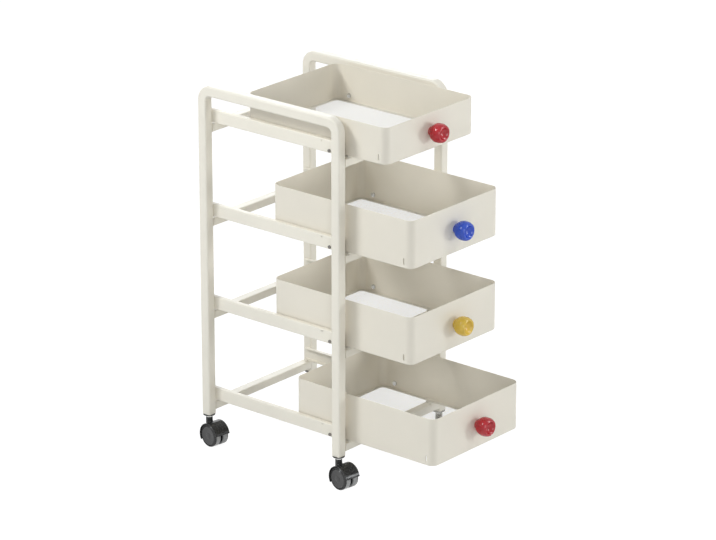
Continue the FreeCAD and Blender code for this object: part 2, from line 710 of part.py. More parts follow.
# Casters
corners = [(f"{en}_{sn}", side, end) for en, end in ENDS for sn, side in SIDES]
nodes.append(group("leg_sockets", [leg_socket(n + "_socket", s, e) for n, s, e in corners]))
nodes.append(group("caster_stems", [caster_stem(n + "_stem", s, e) for n, s, e in corners]))
for name, side, end in corners:
    nodes.append(caster_hood(name + "_caster_hood", side, end))
    nodes.append(wheel_axle(name + "_caster_axle", side, end))
    for half_name, half in SIDES:
        nodes.append(caster_wheel(f"{name}_caster_{half_name}_wheel", side, end, half))

doc.recompute()
for item in doc.Objects:
    if "Invalid" in item.State or "Error" in item.State:
        raise RuntimeError(f"{item.Label}: {item.State}")
os.makedirs("parts", exist_ok=True)
for node in nodes:
    if node.Shape.isNull() or not node.Shape.isValid():
        raise RuntimeError(f"{node.Label}: shape is null or not valid")
    node.Shape.exportStep(f"parts/{node.Label}.step")
print(f"{len(nodes)} nodes, {sum(len(node.Shape.Solids) for node in nodes)} solids")
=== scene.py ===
"""Dresses the packed rolling kitchen cart: tubes, drawers, wire floors, knobs, casters and finishes."""

import bmesh
import bpy
import numpy as np
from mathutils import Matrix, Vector


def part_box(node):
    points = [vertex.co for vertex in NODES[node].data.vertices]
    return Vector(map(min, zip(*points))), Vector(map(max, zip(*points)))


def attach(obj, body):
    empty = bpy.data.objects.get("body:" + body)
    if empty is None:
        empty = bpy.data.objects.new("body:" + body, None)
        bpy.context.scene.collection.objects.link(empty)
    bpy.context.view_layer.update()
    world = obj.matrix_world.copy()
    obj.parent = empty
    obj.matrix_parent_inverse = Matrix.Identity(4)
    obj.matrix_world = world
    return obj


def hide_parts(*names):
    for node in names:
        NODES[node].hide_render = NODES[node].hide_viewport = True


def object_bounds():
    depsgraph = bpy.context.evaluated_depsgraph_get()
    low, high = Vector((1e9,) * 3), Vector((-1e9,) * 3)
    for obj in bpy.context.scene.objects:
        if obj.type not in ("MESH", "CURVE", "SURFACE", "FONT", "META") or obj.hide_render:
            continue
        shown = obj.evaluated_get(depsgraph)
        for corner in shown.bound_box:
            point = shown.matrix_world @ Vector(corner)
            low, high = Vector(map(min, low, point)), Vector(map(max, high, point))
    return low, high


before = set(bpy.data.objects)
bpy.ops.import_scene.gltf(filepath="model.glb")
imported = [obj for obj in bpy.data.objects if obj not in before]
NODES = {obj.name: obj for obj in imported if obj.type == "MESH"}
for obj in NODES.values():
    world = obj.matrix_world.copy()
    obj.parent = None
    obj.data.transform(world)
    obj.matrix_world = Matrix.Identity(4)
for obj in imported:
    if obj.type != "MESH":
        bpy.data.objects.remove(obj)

bl_info = {
    "name": "Rolling kitchen cart",
    "version": (1, 0, 0),
    "blender": (4, 5, 0),
    "location": "3D View > Sidebar > Cart",
    "description": "Builds the looks of a rolling kitchen cart with four drawers",
    "category": "Object",
}

LEVELS = (1, 2, 3, 4)
SIDES = (("left", -1.0), ("right", 1.0))
CASTERS = tuple(f"{end}_{side}" for end in ("front", "back") for side in ("left", "right"))
CAD_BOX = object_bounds()
TAU = 2.0 * np.pi
KNOB_SLOTS = {1: "knob_red", 2: "knob_blue", 3: "knob_yellow", 4: "knob_red"}

# Lengths in metres that ease edges and keep pieces apart
EASE = 0.0003
FLOOR_CLEARANCE = 0.0004
MERGE_DISTANCE = 1e-6

# Steps (radius, height) of the casters' profiles from a seat, face or corner, and their small offsets in metres
DISC_GROOVE = ((0.0, -0.0018), (-0.0002, -0.0017))
DISC_BEVEL = ((-0.0021, 0.0002), (-0.0023, 0.0004), (-0.0030, 0.0003))
HUB_CAP = ((0.0066, -0.0001), (0.0062, 0.0002), (0.0056, 0.0003), (0.0, 0.0003))
TREAD_EDGE = ((-0.0006, 0.0), (-0.0002, 0.0002), (0.0, 0.0006))
NECK_EDGE = ((0.0, -0.0007), (-0.0005, 0.0))
NECK_DIP = 0.0009
ROOF_MARGIN = 0.0005
RING_SINK = 0.0006
RING_PROUD = 0.0001

# Points along curves
BEND_POINTS = 25
DRAWER_CORNER_STEPS = 16
ROOF_POINTS = 57
WEB_POINTS = 41
WEB_OPEN_POINTS = 33
NECK_POINTS = 40
NECK_FLARE_POINTS = 6
KNOB_POINTS = 72
BALL_BACK_POINTS = 28
BALL_FRONT_POINTS = 12
KNOB_LIP_POINTS = 18
KNOB_DISH_POINTS = 18
SHEET_BEND_POINTS = 7
SHEET_TOP_POINTS = 9
RIM_POINTS = 9
WIRE_SIDES = 6

# Largest angle in radians at which the web's chord is still read
CHORD_LIMIT = 1.5

# Light: tint of the lamps and the sky, where the lamps face, and each lamp's size and place
COOL_WHITE = (0.945, 0.975, 1.0)
WHITE = (1.0, 1.0, 1.0)
LAMP_TARGET = (0.0, -0.15, 0.35)
LAMPS = (
    ("left_lamp", 0.9, (-2.0, 1.2, 2.6)),
    ("low_lamp", 0.8, (1.7, -2.9, 0.75)),
    ("high_lamp", 1.0, (0.8, -1.5, 3.2)),
    ("fill_lamp", 1.8, (-2.4, -2.1, 1.5)),
    ("back_lamp", 1.8, (2.4, 2.2, 1.8)),
)

# Floor: half its side, its points per side, and its tone for light and for rays that show it
FLOOR_HALF = 30.0
FLOOR_POINTS = 5
FLOOR_TONE = (0.82, 0.82, 0.82)
FLOOR_SEEN_TONE = (0.2, 0.2, 0.2)

# Camera: its sensor in millimetres and how far it sees in metres
SENSOR_WIDTH = 36.0
CLIP_END = 100.0


def linear(*srgb):
    """Linear colour of an sRGB colour given as numbers from 0 to 255."""
    c = np.array(srgb, float) / 255.0
    return tuple(np.where(c <= 0.04045, c / 12.92, ((c + 0.055) / 1.055) ** 2.4))


def length(name, description, default):
    """A length property in metres."""
    return bpy.props.FloatProperty(name=name, description=description, default=default, unit="LENGTH", precision=5)


def tint(name, description, default):
    """A colour property."""
    return bpy.props.FloatVectorProperty(name=name, description=description, default=default, size=3,
                                         min=0.0, max=1.0, subtype="COLOR")


def power(name, description, default):
    """A lamp's power in watts."""
    return bpy.props.FloatProperty(name=name, description=description, default=default, unit="POWER")


def angle_of(name, description, default):
    """An angle property in radians."""
    return bpy.props.FloatProperty(name=name, description=description, default=default, unit="ROTATION")


def plain_number(name, description, default):
    """A number property without a unit."""
    return bpy.props.FloatProperty(name=name, description=description, default=default)


class CartSizes(bpy.types.PropertyGroup):
    """Sizes of the pieces that the scene makes"""
    tube_round: length("Tube rounding", "Outer corner radius of the frame's square tube", 0.0035)
    bend_radius: length("Bend radius", "Centre-line radius of the side frame's bends", 0.020)
    bar_round: length("Bar rounding", "Outer corner radius of the crossbars", 0.0025)
    drawer_round: length("Drawer corner", "Outer radius of the drawers' upright corners", 0.016)
    drawer_sheet: length("Drawer sheet", "Sheet of the drawers' walls", 0.0012)
    drawer_bend: length("Drawer bend", "Outer radius of the bend along the drawers' lower edge", 0.0028)
    floor_lip: length("Floor lip", "Turned-in lip that carries the drawers' floors", 0.007)
    slit_inset: length("Slit inset", "Side slit behind the drawer's front", 0.0165)
    slit_width: length("Slit width", "Width of the side slit", 0.003)
    slit_rise: length("Slit rise", "Slit's lower end above the drawer's lower edge", 0.008)
    slit_height: length("Slit height", "Height of the side slit", 0.012)
    mesh_pitch: length("Mesh pitch", "Wire to wire in the drawers' floors", 0.0032)
    wire_radius: length("Wire radius", "Radius of the floor's wires", 0.0002)
    ball_radius: length("Ball radius", "Radius of the knob's ball", 0.0185)
    ball_reach: length("Ball reach", "Ball's centre to the drawer's front", 0.019)
    ball_stretch: length("Ball stretch", "Straight part between the ball's back and front", 0.0028)
    neck_radius: length("Knob neck", "Radius of the knob's neck", 0.0085)
    lip_radius: length("Lip radius", "Rounding of the lip round the knob's dished face", 0.0026)
    lip_angle: angle_of("Lip angle", "Angle from the knob's axis at which the ball turns into the lip", 1.0471976)
    wheel_radius: length("Wheel radius", "Radius of the caster wheels", 0.0225)
    wheel_width: length("Wheel width", "Width of one caster wheel", 0.0135)
    tread_round: length("Tread rounding", "Rounding of the wheel's outer edge", 0.003)
    wheel_start: length("Wheel start", "Middle of the caster to a wheel's inner face", 0.0035)
    hood_half: length("Hood half width", "Middle of the caster to the hood's rim", 0.0175)
    hood_inner: length("Hood inside", "Inner radius of the hood's roof", 0.0233)
    hood_outer: length("Hood outside", "Outer radius of the hood's roof", 0.0252)
    hood_web: length("Hood web", "Half the web between the wheels", 0.003)
    hood_hub: length("Hood hub", "Radius of the web's hub round the axle", 0.007)
    hood_neck: length("Hood neck", "Radius of the hood's neck", 0.0068)
    hood_front: angle_of("Hood front", "Angle of the hood's front edge about the axle", 2.9670597)
    hood_back: angle_of("Hood back", "Angle of the hood's back edge about the axle", -0.5410521)
    hood_round: length("Hood rounding", "Rounding of the hood's edges", 0.0008)
    neck_flare: length("Neck flare", "Radius by which the hood's neck eases into the roof", 0.0018)
    ring_low: length("Ring's lower edge", "Lower edge of the bright ring below the neck's top", 0.0024)
    ring_high: length("Ring's upper edge", "Upper edge of the bright ring below the neck's top", 0.0003)
    # The rim is the wheel's real rounded shoulder; its black is partly painted shade, the dark gap under the hood's
    # edge.
    rim_width: length("Rim width", "Black rim outside the wheel's disc", 0.0026)
    caster_trail: length("Caster trail", "Axle to the swivel axis", 0.0157)
    caster_turn: angle_of("Caster turn", "Swivel of the casters from straight ahead", 0.13962634)


class CartFinishes(bpy.types.PropertyGroup):
    """Colours of the finishes"""
    frame_paint: tint("Frame paint", "Powder coat of the tubes and rails", linear(236, 230, 216))
    drawer_paint: tint("Drawer paint", "Powder coat of the drawers", linear(230, 223, 208))
    mesh_paint: tint("Mesh paint", "Coating of the wire floors", linear(236, 233, 224))
    knob_red: tint("Red knob", "Plastic of the red knobs", linear(178, 22, 36))
    knob_blue: tint("Blue knob", "Plastic of the blue knob", linear(34, 76, 190))
    knob_yellow: tint("Yellow knob", "Plastic of the yellow knob", linear(216, 180, 64))
    black_plastic: tint("Black plastic", "Hoods and leg sockets", linear(36, 36, 36))
    wheel_grey: tint("Wheel grey", "Discs of the caster wheels", linear(42, 42, 42))
    tread_grey: tint("Tread grey", "Treads of the caster wheels", linear(148, 148, 147))
    nylon: tint("Nylon", "Rollers, glides and bushes", linear(226, 222, 210))


class CartStage(bpy.types.PropertyGroup):
    """Camera and light"""
    lens: plain_number("Lens", "Focal length in mm on a 36 mm sensor", 189.69)
    azimuth: angle_of("Azimuth", "Camera's angle round the cart", -0.8714583)
    elevation: angle_of("Elevation", "Camera's angle above the horizon", 0.3490207)
    distance: length("Distance", "Camera to its aim point", 7.299895)
    aim: bpy.props.FloatVectorProperty(name="Aim", description="Point in the middle of the picture",
                                       default=(0.0838464, -0.0154063, 0.3341168), size=3, subtype="TRANSLATION")
    sky: plain_number("Sky", "Strength of the pale surroundings", 0.13)
    left_lamp: power("Left lamp", "Power of the soft lamp high on the left", 60.0)
    low_lamp: power("Low lamp", "Power of the soft lamp low at the front right", 32.0)
    high_lamp: power("High lamp", "Power of the soft lamp overhead at the front", 30.0)
    fill_lamp: power("Fill lamp", "Power of the soft lamp at the front left", 32.0)
    back_lamp: power("Back lamp", "Power of the soft lamp behind on the right", 20.0)
    floor_glow: plain_number("Floor glow", "White that the floor shows by itself", 0.95)


def new_material(name):
    """An empty node material; returns it with its tree and shader."""
    material = bpy.data.materials.new(name)
    material.use_nodes = True
    tree = material.node_tree
    return material, tree, tree.nodes["Principled BSDF"]


def noise(tree, scale, detail=3.0, roughness=0.5, stretch=(1.0, 1.0, 1.0)):
    """Factor of a noise on Object coordinates; scale is in features per metre."""
    coords = tree.nodes.new("ShaderNodeTexCoord")
    mapping = tree.nodes.new("ShaderNodeMapping")
    mapping.inputs["Scale"].default_value = stretch
    texture = tree.nodes.new("ShaderNodeTexNoise")
    texture.inputs["Scale"].default_value = scale
    texture.inputs["Detail"].default_value = detail
    texture.inputs["Roughness"].default_value = roughness
    tree.links.new(coords.outputs["Object"], mapping.inputs["Vector"])
    tree.links.new(mapping.outputs["Vector"], texture.inputs["Vector"])
    return texture.outputs["Fac"]


def spread(tree, factor, low, high, start=0.3, stop=0.7):
    """Map a noise factor onto the range from low to high."""
    node = tree.nodes.new("ShaderNodeMapRange")
    for name, value in (("From Min", start), ("From Max", stop), ("To Min", low), ("To Max", high)):
        node.inputs[name].default_value = value
    tree.links.new(factor, node.inputs["Value"])
    return node.outputs["Result"]


def blend_colours(tree, factor, first, second):
    """Mix two colours, each a tuple or a socket, by a factor socket."""
    node = tree.nodes.new("ShaderNodeMix")
    node.data_type = "RGBA"
    tree.links.new(factor, node.inputs[0])
    for socket, colour in ((node.inputs[6], first), (node.inputs[7], second)):
        if isinstance(colour, tuple):
            socket.default_value = (*colour, 1.0)
        else:
            tree.links.new(colour, socket)
    return node.outputs[2]


def shade(colour, factor):
    """A colour made lighter or darker."""
    return tuple(min(1.0, c * factor) for c in colour)


def bump(tree, shader, factor, strength, depth):
    """Feed a factor into the shader's normal as height."""
    node = tree.nodes.new("ShaderNodeBump")
    node.inputs["Strength"].default_value = strength
    node.inputs["Distance"].default_value = depth
    tree.links.new(factor, node.inputs["Height"])
    tree.links.new(node.outputs["Normal"], shader.inputs["Normal"])


def powder_coat(name, colour):
    """Satin powder coat: faint cloudy tone, fine speckle, orange-peel bump and handling marks in the gloss."""
    material, tree, shader = new_material(name)
    colour = tuple(colour)
    cloud = spread(tree, noise(tree, 9.0, 4.0), 0.0, 1.0)
    base = blend_colours(tree, cloud, shade(colour, 0.975), shade(colour, 1.02))
    speck = spread(tree, noise(tree, 1500.0, 2.0), 0.0, 0.15, 0.5, 0.8)
    base = blend_colours(tree, speck, base, shade(colour, 0.95))
    tree.links.new(base, shader.inputs["Base Color"])
    tree.links.new(spread(tree, noise(tree, 38.0, 5.0), 0.29, 0.38), shader.inputs["Roughness"])
    bump(tree, shader, noise(tree, 700.0, 2.0), 0.1, 0.0001)
    shader.inputs["Specular IOR Level"].default_value = 0.5
    return material


def moulded(name, colour, rough_low, rough_high, grain, depth, specular=0.5):
    """Moulded plastic: faint flow marks in the colour, uneven gloss and a fine grain."""
    material, tree, shader = new_material(name)
    colour = tuple(colour)
    flow = spread(tree, noise(tree, 60.0, 4.0, 0.6, (1.0, 1.0, 2.5)), 0.0, 1.0)
    base = blend_colours(tree, flow, shade(colour, 0.93), shade(colour, 1.06))
    tree.links.new(base, shader.inputs["Base Color"])
    tree.links.new(spread(tree, noise(tree, 240.0, 4.0), rough_low, rough_high), shader.inputs["Roughness"])
    bump(tree, shader, noise(tree, grain, 2.0), 0.3, depth)
    shader.inputs["Specular IOR Level"].default_value = specular
    return material


def plated(name, colour, rough_low, rough_high):
    """Plated steel: brushed streaks in the gloss and light clouding in the colour."""
    material, tree, shader = new_material(name)
    colour = tuple(colour)
    cloud = spread(tree, noise(tree, 300.0, 3.0), 0.0, 1.0)
    tree.links.new(blend_colours(tree, cloud, shade(colour, 0.85), shade(colour, 1.05)), shader.inputs["Base Color"])
    streak = noise(tree, 900.0, 3.0, 0.6, (0.1, 1.0, 1.0))
    tree.links.new(spread(tree, streak, rough_low, rough_high), shader.inputs["Roughness"])
    bump(tree, shader, streak, 0.15, 0.00003)
    shader.inputs["Metallic"].default_value = 1.0
    return material


def finish_of(name, make, *values):
    """The material of that name, made at its first use."""
    return bpy.data.materials.get(name) or make(name, *values)


def hood_plastic(finishes):
    """Satin black plastic of the hoods, wheel rims and leg sockets."""
    return finish_of("hood_plastic", moulded, finishes.black_plastic, 0.2, 0.32, 1800.0, 0.00002, 0.42)


def bright_zinc():
    """Bright plating of the drawers' screws, the stems and the neck rings."""
    return finish_of("bright_zinc", plated, linear(205, 205, 203), 0.12, 0.3)


def paint_node(node, material):
    """Give a CAD node a finish in place of the packed one."""
    slots = NODES[node].material_slots
    if not slots:
        NODES[node].data.materials.append(material)
    for slot in slots:
        slot.material = material


def grid_faces(rows, columns, wrap_rows, wrap_columns, first=0):
    """Quads of a grid of rows by columns points, wrapped where asked, as an array of point numbers."""
    i = np.arange(rows if wrap_rows else rows - 1)[:, None]
    j = np.arange(columns if wrap_columns else columns - 1)[None, :]
    i2, j2 = (i + 1) % rows, (j + 1) % columns
    quads = np.stack([i * columns + j, i2 * columns + j, i2 * columns + j2, i * columns + j2], axis=-1)
    return quads.reshape(-1, 4) + first


def add_piece(name, grids, material, body, nodes=(), sharp=0.6):
    """One object from point grids (array, wrap_rows, wrap_columns); it rides on a body and may stand for nodes.

    A fourth entry in a grid is a mask of the quads that are kept. Doubles are merged so that poles and seams
    close, normals are turned outwards, and edges that bend by more than the angle sharp stay crisp.
    """
    points, faces, count = [], [], 0
    for grid, wrap_rows, wrap_columns, *keep in grids:
        rows, columns = grid.shape[:2]
        quads = grid_faces(rows, columns, wrap_rows, wrap_columns, count)
        points.append(grid.reshape(-1, 3))
        faces.append(quads[keep[0].reshape(-1)] if keep else quads)
        count += rows * columns
    mesh = bpy.data.meshes.new(name)
    mesh.from_pydata(np.concatenate(points), [], np.concatenate(faces))
    build = bmesh.new()
    build.from_mesh(mesh)
    bmesh.ops.remove_doubles(build, verts=build.verts, dist=MERGE_DISTANCE)
    bmesh.ops.recalc_face_normals(build, faces=build.faces)
    build.to_mesh(mesh)
    build.free()
    mesh.shade_smooth()
    mesh.set_sharp_from_angle(angle=sharp)
    mesh.materials.append(material)
    piece = bpy.data.objects.new(name, mesh)
    bpy.context.scene.collection.objects.link(piece)
    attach(piece, body)
    if nodes:
        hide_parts(*nodes)
    return piece


def rounded_path(half_x, half_y, steps=6, ease=EASE):
    """Base points and outward normals round a rounded rectangle: base + r normal is its loop at the radius r.

    Corner k keeps its base and turns its normal from k to k + 1 quarter turns. One more point lies at the
    distance ease before and behind every corner, so that the flats are shaded flat.
    """
    angle = (np.arange(4)[:, None] + np.linspace(0.0, 1.0, steps + 1)) * (np.pi / 2)
    angle = np.concatenate([angle[:, :1], angle, angle[:, -1:]], axis=1)
    normal = np.stack([np.cos(angle), np.sin(angle)], axis=-1)
    along = np.stack([-np.sin(angle), np.cos(angle)], axis=-1)
    shift = np.zeros(steps + 3)
    shift[0], shift[-1] = -ease, ease
    corner = np.array([[1, 1], [-1, 1], [-1, -1], [1, -1]]) * [half_x, half_y]
    return corner[:, None, :] + shift[:, None] * along, normal


def rounded_loop(width, height, radius, steps=6):
    """Points round a rectangle with rounded corners."""
    base, normal = rounded_path(width / 2 - radius, height / 2 - radius, steps)
    return (base + radius * normal).reshape(-1, 2)


def arc(centre, radius, start, stop, steps):
    """Points of a circular arc: centre plus radius times (cos t, sin t)."""
    t = np.linspace(start, stop, steps)
    return np.stack([centre[0] + radius * np.cos(t), centre[1] + radius * np.sin(t)], axis=-1)


def capped(skin):
    """Close a swept skin: its first and last rows shrink to their middles."""
    ends = skin[[0, -1]].mean(axis=1, keepdims=True) * np.ones((1, skin.shape[1], 1))
    return np.concatenate([ends[:1], skin, ends[1:]])


def lathe(profile, origin, axis, steps=64):
    """Turn a profile of (radius, height) points round an axis: origin + height a + radius (cos t u + sin t v)."""
    a = Vector(axis).normalized()
    u = a.orthogonal().normalized()
    v = a.cross(u)
    t = np.arange(steps) * (TAU / steps)
    ring = np.cos(t)[:, None] * np.array(u) + np.sin(t)[:, None] * np.array(v)
    profile = np.asarray(profile)
    points = profile[:, 0, None, None] * ring[None] + profile[:, 1, None, None] * np.array(a)
    return points + np.asarray(origin), False, True


class CART_OT_frame_tubes(bpy.types.Operator):
    """Sweep the rounded square tube along each side frame's path and paint the crossbars and rails"""
    bl_idname = "cart.frame_tubes"
    bl_label = "Frame tubes"

    def execute(self, context):
        sizes, finishes = context.scene.cart_sizes, context.scene.cart_finishes
        paint = finish_of("frame_powder_coat", powder_coat, finishes.frame_paint)
        for side, _ in SIDES:
            low, high = (np.array(c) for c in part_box(f"{side}_side_frame"))
            width = high[0] - low[0]
            section = rounded_loop(width, width, sizes.tube_round)
            bend = sizes.bend_radius
            top = high[2] - width / 2
            y0, y1 = low[1] + width / 2, high[1] - width / 2
            corner_a = arc((y0 + bend, top - bend), bend, np.pi, np.pi / 2, BEND_POINTS)
            corner_b = arc((y1 - bend, top - bend), bend, np.pi / 2, 0.0, BEND_POINTS)
            path = np.concatenate([[[y0, low[2]]], corner_a, corner_b, [[y1, low[2]]]])
            along = np.concatenate([[[0.0, 1.0]], path[2:] - path[:-2], [[0.0, -1.0]]])
            along[1], along[-2] = (0.0, 1.0), (0.0, -1.0)
            along[BEND_POINTS], along[BEND_POINTS + 1] = (1.0, 0.0), (1.0, 0.0)
            along /= np.linalg.norm(along, axis=1, keepdims=True)
            across = np.stack([-along[:, 1], along[:, 0]], axis=-1)
            yz = path[:, None, :] + section[None, :, 1, None] * across[:, None, :]
            x = np.broadcast_to((low[0] + high[0]) / 2 + section[None, :, 0], yz.shape[:2])
            skin = np.concatenate([x[..., None], yz], axis=-1)
            add_piece(f"{side}_bent_tube", [(capped(skin), False, True)], paint, "frame",
                      [f"{side}_side_frame"])
        for level in LEVELS:
            for end in ("front", "back"):
                low, high = (np.array(c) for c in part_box(f"{end}_crossbar_{level}"))
                section = rounded_loop(high[1] - low[1], high[2] - low[2], sizes.bar_round) + (low + high)[1:] / 2
                x = np.broadcast_to(np.array([low[0], high[0]])[:, None, None], (2, len(section), 1))
                bar = np.concatenate([x, np.broadcast_to(section, (2, *section.shape))], axis=-1)
                add_piece(f"{end}_bar_{level}", [(capped(bar), False, True)], paint, "frame",
                          [f"{end}_crossbar_{level}"])
            for side, _ in SIDES:
                paint_node(f"{side}_rail_{level}", paint)
        return {"FINISHED"}


def shell_profile(sizes, height):
    """Closed profile of a drawer's wall as (distance inwards, height), and the rows where its slit starts.

    From the lip's edge along the underside, round the lower bend, up the outside, over the rounded top edge,
    down the inside and round the bend back onto the lip.
    """
    sheet, bend, ease = sizes.drawer_sheet, sizes.drawer_bend, EASE
    edge = sheet + sizes.floor_lip
    slit = (sizes.slit_rise, sizes.slit_rise + sizes.slit_height)
    t = np.linspace(0.0, np.pi / 2, SHEET_BEND_POINTS)
    outer = np.stack([bend * (1.0 - np.sin(t)), bend * (1.0 - np.cos(t))], axis=-1)
    inner = np.stack([bend - (bend - sheet) * np.cos(t), bend - (bend - sheet) * np.sin(t)], axis=-1)
    t = np.linspace(0.0, np.pi, SHEET_TOP_POINTS)
    top = np.stack([sheet / 2 * (1.0 - np.cos(t)), height - sheet / 2 * (1.0 - np.sin(t))], axis=-1)
    under = np.array([[edge, 0.0], [bend + ease, 0.0]])
    outside = np.array([[0.0, bend + ease], [0.0, slit[0]], [0.0, slit[1]], [0.0, height - sheet / 2 - ease]])
    inside = np.array([[sheet, height - sheet / 2 - ease], [sheet, slit[1]], [sheet, slit[0]], [sheet, bend + ease]])
    over = np.array([[bend + ease, sheet], [edge, sheet]])
    first = len(under) + len(outer) + 1
    second = len(under) + len(outer) + len(outside) + len(top) + 1
    return np.concatenate([under, outer, outside, top, inside, inner, over]), first, second


class CART_OT_drawers(bpy.types.Operator):
    """Carry the folded sheet's profile round each drawer and leave out its side slits"""
    bl_idname = "cart.drawers"
    bl_label = "Drawer walls"

    def execute(self, context):
        sizes = context.scene.cart_sizes
        paint = finish_of("drawer_powder_coat", powder_coat, context.scene.cart_finishes.drawer_paint)
        for level in LEVELS:
            low, high = (np.array(c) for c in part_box(f"drawer_{level}_shell"))
            half = (high - low) / 2 - sizes.drawer_round
            profile, first, second = shell_profile(sizes, high[2] - low[2])
            base, normal = rounded_path(half[0], half[1], DRAWER_CORNER_STEPS)
            slit = np.array([sizes.slit_inset, sizes.slit_inset + sizes.slit_width]) - (high[1] - low[1]) / 2
            left = np.stack([[-half[0], -half[0]], slit[::-1]], axis=-1)
            right = np.stack([[half[0], half[0]], slit], axis=-1)
            base = np.concatenate([*base[:2], left, *base[2:], right])
            normal = np.concatenate([*normal[:2], [[-1, 0], [-1, 0]], *normal[2:], [[1, 0], [1, 0]]])
            corner_points = DRAWER_CORNER_STEPS + 3
            columns = (2 * corner_points, 4 * corner_points + 2)
            reach = sizes.drawer_round - profile[:, 0]
            xy = base[None] + reach[:, None, None] * normal[None] + (low + high)[:2] / 2
            z = np.broadcast_to(low[2] + profile[:, 1, None, None], (*xy.shape[:2], 1))
            skin = np.concatenate([xy, z], axis=-1)
            keep = np.ones(skin.shape[:2], bool)
            keep[np.ix_((first, second), columns)] = False
            grids = [(skin, True, True, keep)]
            for column in columns:
                ring = [[skin[a, column], skin[a, column + 1], skin[b, column + 1], skin[b, column]]
                        for a, b in ((first, first + 1), (second + 1, second))]
                grids.append((np.array(ring), False, True))
            add_piece(f"drawer_{level}_walls", grids, paint, f"drawer_{level}",
                      [f"drawer_{level}_shell"])
        return {"FINISHED"}


def straight_wires(centres, start, stop, z, radius, along_y):
    """Capped six-sided rods: place across + radius cos t, height z + radius sin t, run from start to stop."""
    t = np.arange(WIRE_SIDES) * (TAU / WIRE_SIDES)
    r = np.array([0.0, radius, radius, 0.0])[None, :, None]
    side = centres[:, None, None] + r * np.cos(t)
    up = z + r * np.sin(t)
    run = np.stack([start, start, stop, stop], axis=-1)[:, :, None]
    side, up, run = np.broadcast_arrays(side, up, run)
    return np.stack([side, run, up] if along_y else [run, side, up], axis=-1)


class CART_OT_mesh_floors(bpy.types.Operator):
    """Lay two crossing layers of welded wires on each drawer's lip"""
    bl_idname = "cart.mesh_floors"
    bl_label = "Mesh floors"

    def execute(self, context):
        sizes = context.scene.cart_sizes
        paint = finish_of("coated_wire", powder_coat, context.scene.cart_finishes.mesh_paint)
        pitch, radius = sizes.mesh_pitch, sizes.wire_radius
        corner = sizes.drawer_round - sizes.drawer_bend - FLOOR_CLEARANCE
        for level in LEVELS:
            low, high = (np.array(c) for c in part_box(f"drawer_{level}_shell"))
            low += sizes.drawer_bend + FLOOR_CLEARANCE
            high -= sizes.drawer_bend + FLOOR_CLEARANCE
            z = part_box(f"drawer_{level}_floor")[0][2] + radius
            grids = []
            for across, along, lift in ((1, 0, 0.0), (0, 1, 2.0 * radius)):
                count = int((high[across] - low[across] - 2 * radius) / pitch)
                middle = (low[across] + high[across]) / 2
                centres = middle + (np.arange(count + 1) - count / 2) * pitch
                edge = np.minimum(centres - low[across], high[across] - centres)
                inset = corner - np.sqrt(np.clip(corner ** 2 - np.clip(corner - edge, 0, None) ** 2, 0, None))
                wires = straight_wires(centres, low[along] + inset, high[along] - inset, z + lift, radius, along == 1)
                grids += [(wire, False, True) for wire in wires]
            add_piece(f"drawer_{level}_wire_floor", grids, paint, f"drawer_{level}",
                      [f"drawer_{level}_floor"], sharp=1.2)
        return {"FINISHED"}


def soft_corner(before, corner, after, steps=6):
    """A corner of a profile eased by the quadratic curve (1-t)^2 before + 2t(1-t) corner + t^2 after."""
    t = np.linspace(0.0, 1.0, steps)[:, None]
    before, corner, after = (np.asarray(p) for p in (before, corner, after))
    return (1 - t) ** 2 * before + 2 * t * (1 - t) * corner + t ** 2 * after


class CART_OT_knobs(bpy.types.Operator):
    """Turn the ball knobs with their dished faces

    The profile is the ball's circle from the neck to its widest place, the same circle moved forward by the stretch
    up to the lip, the lip's circle inside it over the crest, and the circle of the bowl, which leaves the lip at its
    slope and ends on the axis.
    """
    bl_idname = "cart.knobs"
    bl_label = "Knobs"

    def execute(self, context):
        sizes, finishes = context.scene.cart_sizes, context.scene.cart_finishes
        ball, reach, neck = sizes.ball_radius, sizes.ball_reach, sizes.neck_radius
        lip, angle = sizes.lip_radius, sizes.lip_angle
        front = reach + sizes.ball_stretch
        back_half = arc((0.0, reach), ball, -np.arccos(neck / ball), 0.0, BALL_BACK_POINTS)
        front_half = arc((0.0, front), ball, 0.0, np.pi / 2 - angle, BALL_FRONT_POINTS)
        crest = arc(((ball - lip) * np.sin(angle), front + (ball - lip) * np.cos(angle)), lip,
                    np.pi / 2 - angle, np.pi / 2 + angle, KNOB_LIP_POINTS)
        bowl = crest[-1, 0] / np.sin(angle)
        dish = arc((0.0, crest[-1, 1] + bowl * np.cos(angle)), bowl, angle - np.pi / 2, -np.pi / 2,
                   KNOB_DISH_POINTS)
        profile = np.concatenate([[[0.0, 0.0], [neck, 0.0]], back_half, front_half, crest[1:], dish[1:]])
        for level in LEVELS:
            slot = KNOB_SLOTS[level]
            plastic = finish_of(slot + "_plastic", moulded, getattr(finishes, slot), 0.09, 0.14, 1400.0, 0.00001)
            low, high = (np.array(c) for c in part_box(f"drawer_{level}_knob"))
            origin = ((low[0] + high[0]) / 2, high[1], (low[2] + high[2]) / 2)
            add_piece(f"drawer_{level}_ball_knob", [lathe(profile, origin, (0, -1, 0), KNOB_POINTS)], plastic,
                      f"drawer_{level}", [f"drawer_{level}_knob"])
        return {"FINISHED"}


